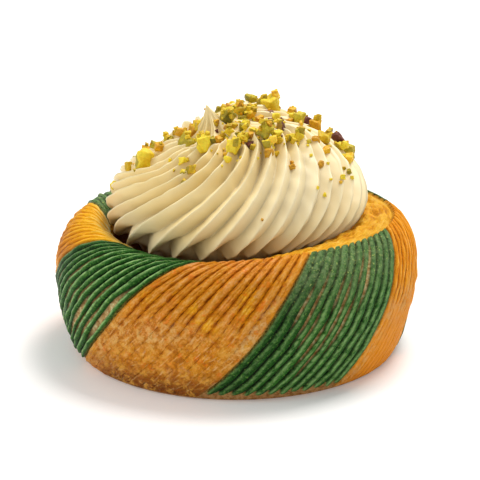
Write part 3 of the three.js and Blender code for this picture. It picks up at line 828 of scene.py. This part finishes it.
def cream_point(profile, way, side, relief, crest):
    """The points at those ways up, on the ridges that cross the swirl's crest at those sides."""
    radius, height, out_r, out_z = profile.at(way)
    angle = ridge_angle(side, way) * DEGREE
    to_tip = np.where(height > BELLY_HEIGHT, np.maximum(0.0, 1 - radius / SWIRL_RADIUS), 0.0) ** TIP_BEND
    rise = swirl_rise(angle) * smoothstep(height, BELLY_HEIGHT, SWIRL_RISE_TOP)
    rise = rise * np.minimum(1.0, radius / LEVEL_RADIUS)
    rooted = smoothstep(way, *TEETH_ROOT)
    ridged = smoothstep(radius, *FOLD_RADII)
    fold = 2 * ridge_crest(side / 360 * FOLDS % 1, FURROW_PLACE) - 1
    fold = fold * FOLD_RELIEF * (1 - ridged) * smoothstep(radius, *FOLD_ROOT)
    lift = relief * rooted * RIDGE_RELIEF * ridged + fold
    parting = (1 - smoothstep(way, 0.0, TEETH_WAY)) * rooted
    to_left = 0.5 * (1 - np.cos(angle))
    droop = ((TEETH_DROOP + TEETH_RISE) * to_left - TEETH_RISE) * crest
    r = np.maximum(0.05, radius + out_r * lift - TEETH_OPEN * (1 - crest) * parting)
    z = height + out_z * lift + rise + (TEETH_OPEN * (1 - crest) - droop) * parting
    return leaned(TIP_X * to_tip + r * np.cos(angle), TIP_Y * to_tip + r * np.sin(angle), z)


def ridge_grid():
    """The sides of a row's columns, in degrees, and how near each is to its ridge's crest, from 0 to 1."""
    draw = np.random.default_rng(RIDGE_SEED)
    jitter = draw.uniform(-RIDGE_JITTER, RIDGE_JITTER, RIDGES)
    ridge = np.arange(RIDGES)
    start = ((ridge + jitter) * 360 / RIDGES)[:, None]
    stop = ((ridge + 1 + np.roll(jitter, -1)) * 360 / RIDGES)[:, None]
    furrow = FURROW_PLACE - FURROW_SWING * np.cos((start - FURROW_SIDE) * DEGREE)
    column = np.linspace(0.0, 1.0, RIDGE_COLUMNS, endpoint=False)
    part = np.where(column < 0.5, 2 * column * furrow, furrow + (2 * column - 1) * (1 - furrow))
    return start + (stop - start) * part, ridge_crest(part, furrow)


def build_cream():
    profile = cream_profile()
    up = profile.ways[-1] * np.linspace(0, 1, CREAM_ROWS)
    ways = np.concatenate([profile.ways[:2], ROOT_WAYS, up])[:, None, None]
    side, crest = ridge_grid()
    angle = ridge_angle(side, ways) * DEGREE
    crest = np.broadcast_to(crest, angle.shape)

    # Each ridge has its own strength, which changes along it, and there are fine lumps on them all
    strength = 1 + RIDGE_VARIETY * uneven([np.arange(RIDGES)[:, None] * RIDGES_APART, ways], *RIDGE_FIELD)
    soft = bell((side - SOFT_SIDE + 180) % 360 - 180, 0.0, SOFT_REACH) * (1 - smoothstep(ways, 26.0, 36.0))
    place = [BELLY_RADIUS * np.cos(angle), BELLY_RADIUS * np.sin(angle), ways]
    lumps = CREAM_LUMP_HEIGHT * uneven(place, *CREAM_LUMP_FIELD)
    relief = (2 * crest - 1) * strength * (1 - 0.5 * soft) + lumps
    points = cream_point(profile, ways, side, relief, crest)

    # Painted light: less yellow on the right of the front, below the swirl, and low on the left
    painted_light = 0.35 * smoothstep(np.cos(angle - PAINTED_LIGHT_SIDE * DEGREE), 0.3, 1.0)
    painted_light = painted_light * smoothstep(ways, 3.0, 14.0) * smoothstep(-ways, -34.0, -22.0)
    painted_light = painted_light + 0.4 * smoothstep(-np.cos(angle), 0.3, 1.0) * smoothstep(-ways, -16.0, -4.0)
    values = {"crest": crest, "way": np.broadcast_to(ways, angle.shape), "painted_light": painted_light}
    rows = len(ways)
    values = {name: value.reshape(rows, -1) for name, value in values.items()}
    rings = points.reshape(rows, -1, 3)
    tip = leaned(np.array(TIP_X), np.array(TIP_Y), np.array(TIP_HEIGHT))
    return ring_piece("piped_cream", rings, (0, 0, HOLLOW_FLOOR + GAP), tip, values, cream_finish())


# ---- The pistachio ----

# The larger pieces, as the solid has them: place seen from above, longest side, and kind
KERNEL, AMBER, GREEN, SKIN = "kernel", "amber", "green", "skin"
NUTS = [
    (-31, 2.5, 3, KERNEL), (-30, 8, 3, KERNEL), (-26, -2.5, 6.5, KERNEL), (-26.5, 10.5, 3, AMBER),
    (-25.5, 13, 3, KERNEL), (-23.5, 5.5, 3, GREEN), (-22, 0, 3.2, AMBER), (-19.5, 6.5, 4, GREEN),
    (-16, 4, 3.4, AMBER), (-13.5, -3, 7, GREEN), (-12, 2, 4, AMBER), (-12.5, 8, 3.4, AMBER),
    (-9, -12.5, 6.4, KERNEL), (-12.5, -20, 3.6, KERNEL), (-15, -15.5, 3, KERNEL), (-4, 11.5, 4.7, GREEN),
    (-2.5, -3.5, 4.7, GREEN), (1, 7, 4.4, KERNEL), (1.5, 11.5, 4, AMBER), (4.5, 20, 5, GREEN),
    (10, 15.5, 6.2, KERNEL), (7.5, 17, 4, KERNEL), (9.5, 10.5, 3.2, SKIN), (12.5, -9.5, 3.6, SKIN),
    (11.5, -14, 3.4, KERNEL), (8.5, -15, 5, GREEN), (9, -19, 3.4, KERNEL), (2, -14.5, 3.7, KERNEL),
    (-2, -9.5, 3, KERNEL), (-1, -18, 4.4, KERNEL), (4, 7, 3.7, AMBER), (6.5, 5.5, 4, AMBER),
    (16.5, 18.5, 4, AMBER), (18, 7, 4.7, GREEN), (20.5, 14.5, 3.4, SKIN), (23, 10.5, 4.4, AMBER),
    (25.5, 10, 4.4, KERNEL), (25, -0.5, 4.7, KERNEL), (17.5, -10.5, 3, KERNEL), (29, 8, 4.7, SKIN),
    (30.5, 12, 4, KERNEL), (30, 2, 3.4, KERNEL), (32.5, 4.5, 5.4, GREEN), (32.5, -1.5, 3.7, AMBER),
]
# And smaller ones, which only the scene has
SMALL_NUTS = [
    (-31.3, 4.5, 2, AMBER), (-15, 6.5, 2.2, KERNEL), (-10.5, 9.5, 2.4, SKIN), (-2, 11.5, 2.8, AMBER),
    (-1, 15.5, 2.4, KERNEL), (11.5, 16, 3, AMBER), (10, 6, 2.7, SKIN), (11.7, 3.3, 2.7, KERNEL),
    (9, -21.5, 3, AMBER), (4.5, -14, 2.8, AMBER), (4, -16, 3, SKIN), (0, -19, 2.8, KERNEL),
    (5.5, 11.5, 3, KERNEL), (15.5, 6, 2.4, AMBER), (22.5, -8, 2.8, AMBER), (25.5, -8, 3, AMBER),
    (31.5, 6, 3, AMBER), (12, -15.5, 3, KERNEL), (15.5, -20.2, 1.3, AMBER), (23.7, -16.3, 2.2, AMBER),
    (20.9, -16, 1.2, KERNEL), (25.7, -15.8, 1, KERNEL), (30.5, -9.5, 1.3, KERNEL), (31.9, -10.7, 1.8, GREEN),
    (29.9, -16.6, 1.8, KERNEL), (32.7, -12.4, 1.3, KERNEL), (29.3, -17.7, 1.2, AMBER),
    (26.4, -20.4, 1, KERNEL), (22.6, -25.3, 1.2, KERNEL), (24.6, -23.6, 1.3, KERNEL),
    (7.1, -34.7, 0.9, AMBER), (-18.7, -9.4, 1.2, KERNEL), (20.1, -13.2, 1, KERNEL),
]
# And crumbs, strewn round the larger pieces
CRUMBS = 340
CRUMB_SIZES = (0.7, 2.8)
CRUMB_REACH = 2.8
CRUMB_KINDS = {KERNEL: 0.66, AMBER: 0.2, GREEN: 0.1, SKIN: 0.04}  # the share of each kind
CRUMB_SEED = 17
PILE = (3.0, -2.0, 9.0)  # where they lie thickest: the middle, seen from above, and how far it reaches
PILE_WEIGHT, OTHER_WEIGHT = 2.6, 0.3
NUT_LIFT = 0.12
NUT_SEED = 7
NUT_CORNERS = 8
NUT_WIDTH, NUT_HEIGHT = 0.65, 0.55  # the least, as shares of the longest side
NUT_VARIETY = 0.3
NUT_TILT = 0.8  # radians, from one side to the other
NUT_BEVEL, NUT_ROUGHNESS = 0.05, 0.05  # as shares of the longest side
NUT_LONG_EDGE = 0.5  # longer edges are divided, so that the faces can be rough

NUT_COLOURS = {  # the broken face's ramp, and the skin
    KERNEL: ([(0.25, "94780a"), (0.5, "d4b010"), (0.8, "f2da34")], "88780c"),
    AMBER: ([(0.25, "a06c04"), (0.55, "dca410"), (0.8, "f6cc34")], "a0681a"),
    GREEN: ([(0.25, "6e6408"), (0.55, "b09c0e"), (0.85, "dcc82a")], "5e5c10"),
    SKIN: ([(0.25, "421814"), (0.6, "703a2c"), (0.85, "a87c68")], "bc9c2c"),
}


def repeatable(seed):
    """The same draw of numbers from 0 to 1 as the solid's pieces were made with."""
    state = seed
    while True:
        state = (state * 1664525 + 1013904223) % 4294967296
        yield state / 4294967296


def nut_corners(size, draw):
    """The corners of a piece of that longest side, turned at random, round its middle."""
    width = size * (NUT_WIDTH + NUT_VARIETY * next(draw))
    height = size * (NUT_HEIGHT + NUT_VARIETY * next(draw))
    corners = []
    for i in range(NUT_CORNERS):
        turn = 2 * math.pi * (i + 0.6 * next(draw)) / NUT_CORNERS
        up = (0.5 if i % 2 else -0.5) * (0.7 + 0.6 * next(draw))
        corners.append(Vector((size / 2 * math.cos(turn), width / 2 * math.sin(turn), height * up)))
    tilt_x = Matrix.Rotation(NUT_TILT * (next(draw) - 0.5), 3, "X")
    tilt_y = Matrix.Rotation(NUT_TILT * (next(draw) - 0.5), 3, "Y")
    spin = Matrix.Rotation(2 * math.pi * next(draw), 3, "Z")
    return [spin @ tilt_y @ tilt_x @ corner for corner in corners]


def broken_piece(corners, size, rng):
    """A rough lump round the corners' hull: its points, its faces, and how much skin is left at each."""
    lump = bmesh.new()
    for corner in corners:
        lump.verts.new(corner)
    bmesh.ops.convex_hull(lump, input=lump.verts)
    loose = [v for v in lump.verts if not v.link_faces]
    bmesh.ops.delete(lump, geom=loose, context="VERTS")
    bevel = NUT_BEVEL * size
    bmesh.ops.bevel(lump, geom=lump.edges[:], offset=bevel, segments=2, profile=0.6, affect="EDGES")
    bmesh.ops.triangulate(lump, faces=lump.faces[:])
    long_edges = [e for e in lump.edges if e.calc_length() > NUT_LONG_EDGE]
    bmesh.ops.subdivide_edges(lump, edges=long_edges, cuts=2, use_grid_fill=True)
    bmesh.ops.triangulate(lump, faces=lump.faces[:])
    lump.verts.index_update()
    points = np.array([v.co[:] for v in lump.verts])
    faces = [[v.index for v in face.verts] for face in lump.faces]
    lump.normal_update()
    normals = np.array([v.normal[:] for v in lump.verts])
    lump.free()

    wave = uneven(list(points.T + rng.uniform(0, 50, (3, 1))), max(0.6, 0.5 * size), int(rng.integers(1000)))
    covered = np.append(rng.normal(size=2), -0.6)
    skin = smoothstep(normals @ covered / np.linalg.norm(covered), 0.3, 0.7)
    return points + normals * (NUT_ROUGHNESS * size * wave)[:, None], faces, skin


def joined(name, lumps, material):
    """One mesh of many lumps, each with its own tone."""
    points, faces, tones, skins = [], [], [], []
    for (lump_points, lump_faces, skin), tone in lumps:
        faces.extend([[i + len(points) for i in face] for face in lump_faces])
        points.extend(lump_points)
        tones.extend([tone] * len(lump_points))
        skins.extend(skin)
    return mesh_piece(name, points, faces, {"tone": tones, "skin": skins}, material)


def crumbs(rng):
    """Places, sizes and kinds of the finest pieces, thickest in the pile beside the tip."""
    places = np.array([nut[:2] for nut in NUTS], float)
    x, y, reach = PILE
    from_pile = (places[:, 0] - x) ** 2 + (places[:, 1] - y) ** 2
    weight = OTHER_WEIGHT + np.exp(-from_pile / reach ** 2) * PILE_WEIGHT
    near = rng.choice(len(places), CRUMBS, p=weight / weight.sum())
    spots = places[near] + rng.normal(0.0, CRUMB_REACH, (CRUMBS, 2))
    sizes = CRUMB_SIZES[0] + (CRUMB_SIZES[1] - CRUMB_SIZES[0]) * rng.uniform(size=CRUMBS) ** 1.6
    kinds = rng.choice(list(CRUMB_KINDS), CRUMBS, p=list(CRUMB_KINDS.values()))
    return [(*spot, size, str(kind)) for spot, size, kind in zip(spots, sizes, kinds)]


def build_nuts(cream):
    """Drops each piece on the cream, the smaller ones also on the larger ones, and joins them by kind."""
    points = [list(v.co) for v in cream.data.vertices]
    faces = [list(polygon.vertices) for polygon in cream.data.polygons]
    tree = BVHTree.FromPolygons(points, faces)
    rng = np.random.default_rng(CRUMB_SEED)
    draw = repeatable(NUT_SEED)
    lumps = {kind: [] for kind in NUT_COLOURS}
    for number, (x, y, size, kind) in enumerate(NUTS + SMALL_NUTS + crumbs(rng)):
        corners = nut_corners(size, draw)
        hit = tree.ray_cast(Vector((x, y, 2 * TIP_HEIGHT)) * MM, Vector((0, 0, -1)))[0]
        if hit is None:
            continue
        middle = Vector((x, y, hit.z / MM + NUT_LIFT * size))
        lump = broken_piece([corner + middle for corner in corners], size, rng)
        lumps[kind].append((lump, rng.uniform(0.1, 0.9)))
        if number < len(NUTS):
            faces.extend([[i + len(points) for i in face] for face in lump[1]])
            points.extend((lump[0] * MM).tolist())
        if number == len(NUTS) - 1:
            tree = BVHTree.FromPolygons(points, faces)
    return [joined("pistachio_" + kind, lumps[kind], nut_finish("nut_" + kind, *NUT_COLOURS[kind]))
            for kind in NUT_COLOURS]


# ---- Camera, light and floor ----

CAMERA_PLACE = (0.0, -592.0, 234.7)
CAMERA_AIM = (1.1, 0.0, 30.6)
LENS = 161.4
SENSOR = 36.0
LIGHT_AIM = (0.0, 0.0, 30.0)
KEY = ("key", (210.0, 230.0, 760.0), 340.0, 5.35, (1.0, 0.985, 0.96))  # name, place, width, watts and tint
FILL = ("fill", (-700.0, -200.0, 500.0), 400.0, 1.75, (1.0, 0.99, 0.97))
WORLD_STRENGTH = 0.58
FLOOR_HALF = 3000.0


def aimed(thing, place, aim):
    """Puts a camera or a light at a place, facing another."""
    thing.location = Vector(place) * MM
    thing.rotation_euler = (Vector(aim) - Vector(place)).to_track_quat("-Z", "Y").to_euler()


def build_camera():
    data = bpy.data.cameras.new("camera")
    data.lens = LENS
    data.sensor_width = SENSOR
    bpy.context.scene.camera = linked("camera", data)
    aimed(bpy.context.scene.camera, CAMERA_PLACE, CAMERA_AIM)


def softbox(name, place, width, power, tint):
    """A square area light that faces the pastry."""
    data = bpy.data.lights.new(name, "AREA")
    data.size = width * MM
    data.energy = power
    data.color = tint
    aimed(linked(name, data), place, LIGHT_AIM)


def build_light():
    softbox(*KEY)
    softbox(*FILL)
    world = bpy.data.worlds.new("studio")
    world.use_nodes = True
    background = world.node_tree.nodes["Background"]
    background.inputs["Color"].default_value = (1.0, 1.0, 1.0, 1.0)
    background.inputs["Strength"].default_value = WORLD_STRENGTH
    bpy.context.scene.world = world
    bpy.context.scene.view_settings.view_transform = "Standard"


def build_floor():
    corners = [(x * FLOOR_HALF, y * FLOOR_HALF, 0) for x, y in ((-1, -1), (1, -1), (1, 1), (-1, 1))]
    # The floor paper glows a little, painted light that lifts its shadows and lights the pastry from below
    paper = Finish("floor_paper").done(
        Base_Color=(0.93, 0.92, 0.91, 1.0), Roughness=0.7, Specular_IOR_Level=0.2,
        Emission_Color=(1.0, 0.98, 0.97, 1.0), Emission_Strength=0.1)
    floor = mesh_piece("floor", corners, [(0, 1, 2, 3)], {}, paper)


build_camera()
build_light()
build_floor()
bun = build_bun()
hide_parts("bun")
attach(bun, "root")
cream = build_cream()
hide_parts("cream")
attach(cream, "root")
for nuts in build_nuts(cream):
    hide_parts("cream")
    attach(nuts, "root")
